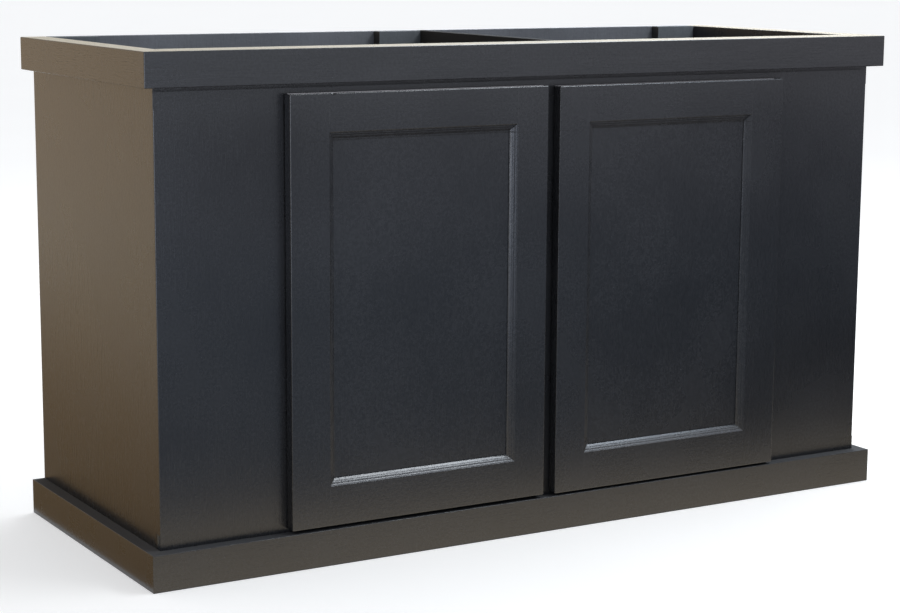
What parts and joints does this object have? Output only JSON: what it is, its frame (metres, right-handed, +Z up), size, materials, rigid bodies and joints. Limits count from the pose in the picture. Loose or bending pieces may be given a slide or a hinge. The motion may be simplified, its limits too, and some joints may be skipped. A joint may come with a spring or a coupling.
{
  "type": "aquarium stand cabinet",
  "caption": "Open-topped aquarium stand cabinet in satin black, with mitred top trim and base boards and two overlay frame-and-panel doors on concealed hinges",
  "frame": {"origin": "middle of the bounding box's bottom face, on the floor", "axes": "+Z up; -Y is the front with the doors; +X runs to the right as seen from the front"},
  "size_m": [1.2574, 0.4762, 0.7255],
  "materials": {
    "carcass_paint": "satin black paint on plywood, with bare pale edges along the top rim",
    "face_frame_paint": "satin black paint on plywood",
    "top_trim_paint": "satin black paint, top edge bare pale wood",
    "base_board_paint": "satin black paint",
    "left_door_paint": "satin black paint on a frame-and-panel door",
    "right_door_paint": "satin black paint on a frame-and-panel door",
    "hinge_steel": "nickel-plated pressed steel",
    "screw_steel": "zinc-plated steel",
    "bumper_rubber": "clear grey soft pad"
  },
  "bodies": {
    "carcass": {"back_panel": "carcass_paint", "back_post_center": "carcass_paint", "back_post_left": "carcass_paint", "back_post_right": "carcass_paint", "base_board_front": "base_board_paint", "base_board_left": "base_board_paint", "base_board_right": "base_board_paint", "center_brace": "carcass_paint", "face_rail_bottom": "face_frame_paint", "face_rail_top": "face_frame_paint", "face_stile_center": "face_frame_paint", "face_stile_left": "face_frame_paint", "face_stile_right": "face_frame_paint", "floor_cleat_back": "carcass_paint", "floor_cleat_front": "carcass_paint", "floor_panel": "carcass_paint", "left_hinge_arm_lower": "hinge_steel", "left_hinge_arm_lower_screw": "screw_steel", "left_hinge_arm_upper": "hinge_steel", "left_hinge_arm_upper_screw": "screw_steel", "right_hinge_arm_lower": "hinge_steel", "right_hinge_arm_lower_screw": "screw_steel", "right_hinge_arm_upper": "hinge_steel", "right_hinge_arm_upper_screw": "screw_steel", "side_panel_left": "carcass_paint", "side_panel_right": "carcass_paint", "top_cleat_front": "carcass_paint", "top_trim_front": "top_trim_paint", "top_trim_left": "top_trim_paint", "top_trim_right": "top_trim_paint"},
    "left_links": {"left_hinge_link_lower": "hinge_steel", "left_hinge_link_upper": "hinge_steel"},
    "left_door": {"left_cup_screw_lower_a": "screw_steel", "left_cup_screw_lower_b": "screw_steel", "left_cup_screw_upper_a": "screw_steel", "left_cup_screw_upper_b": "screw_steel", "left_door_bottom_rail": "left_door_paint", "left_door_bumper_lower": "bumper_rubber", "left_door_bumper_upper": "bumper_rubber", "left_door_hinge_stile": "left_door_paint", "left_door_latch_stile": "left_door_paint", "left_door_panel": "left_door_paint", "left_door_top_rail": "left_door_paint", "left_hinge_cup_lower": "hinge_steel", "left_hinge_cup_upper": "hinge_steel"},
    "right_links": {"right_hinge_link_lower": "hinge_steel", "right_hinge_link_upper": "hinge_steel"},
    "right_door": {"right_cup_screw_lower_a": "screw_steel", "right_cup_screw_lower_b": "screw_steel", "right_cup_screw_upper_a": "screw_steel", "right_cup_screw_upper_b": "screw_steel", "right_door_bottom_rail": "right_door_paint", "right_door_bumper_lower": "bumper_rubber", "right_door_bumper_upper": "bumper_rubber", "right_door_hinge_stile": "right_door_paint", "right_door_latch_stile": "right_door_paint", "right_door_panel": "right_door_paint", "right_door_top_rail": "right_door_paint", "right_hinge_cup_lower": "hinge_steel", "right_hinge_cup_upper": "hinge_steel"}
  },
  "joints": [
    {"name": "left_door_swing", "type": "hinge", "parent": "carcass", "child": "left_door", "pos_m": [-0.4174, -0.22662, 0.36085], "axis": [0, 0, -1], "range_deg": [0, 105]},
    {"name": "left_link_swing", "type": "hinge", "parent": "carcass", "child": "left_links", "pos_m": [-0.4019, -0.22412, 0.36085], "axis": [0, 0, -1], "range_deg": [0, 121]},
    {"name": "right_door_swing", "type": "hinge", "parent": "carcass", "child": "right_door", "pos_m": [0.424, -0.22662, 0.35945], "axis": [0, 0, 1], "range_deg": [0, 105]},
    {"name": "right_link_swing", "type": "hinge", "parent": "carcass", "child": "right_links", "pos_m": [0.4085, -0.22412, 0.35945], "axis": [0, 0, 1], "range_deg": [0, 121]}
  ],
  "couplings": [
    {"joint": "left_link_swing", "follows": "left_door_swing", "ratio": 1.15},
    {"joint": "right_link_swing", "follows": "right_door_swing", "ratio": 1.15}
  ]
}
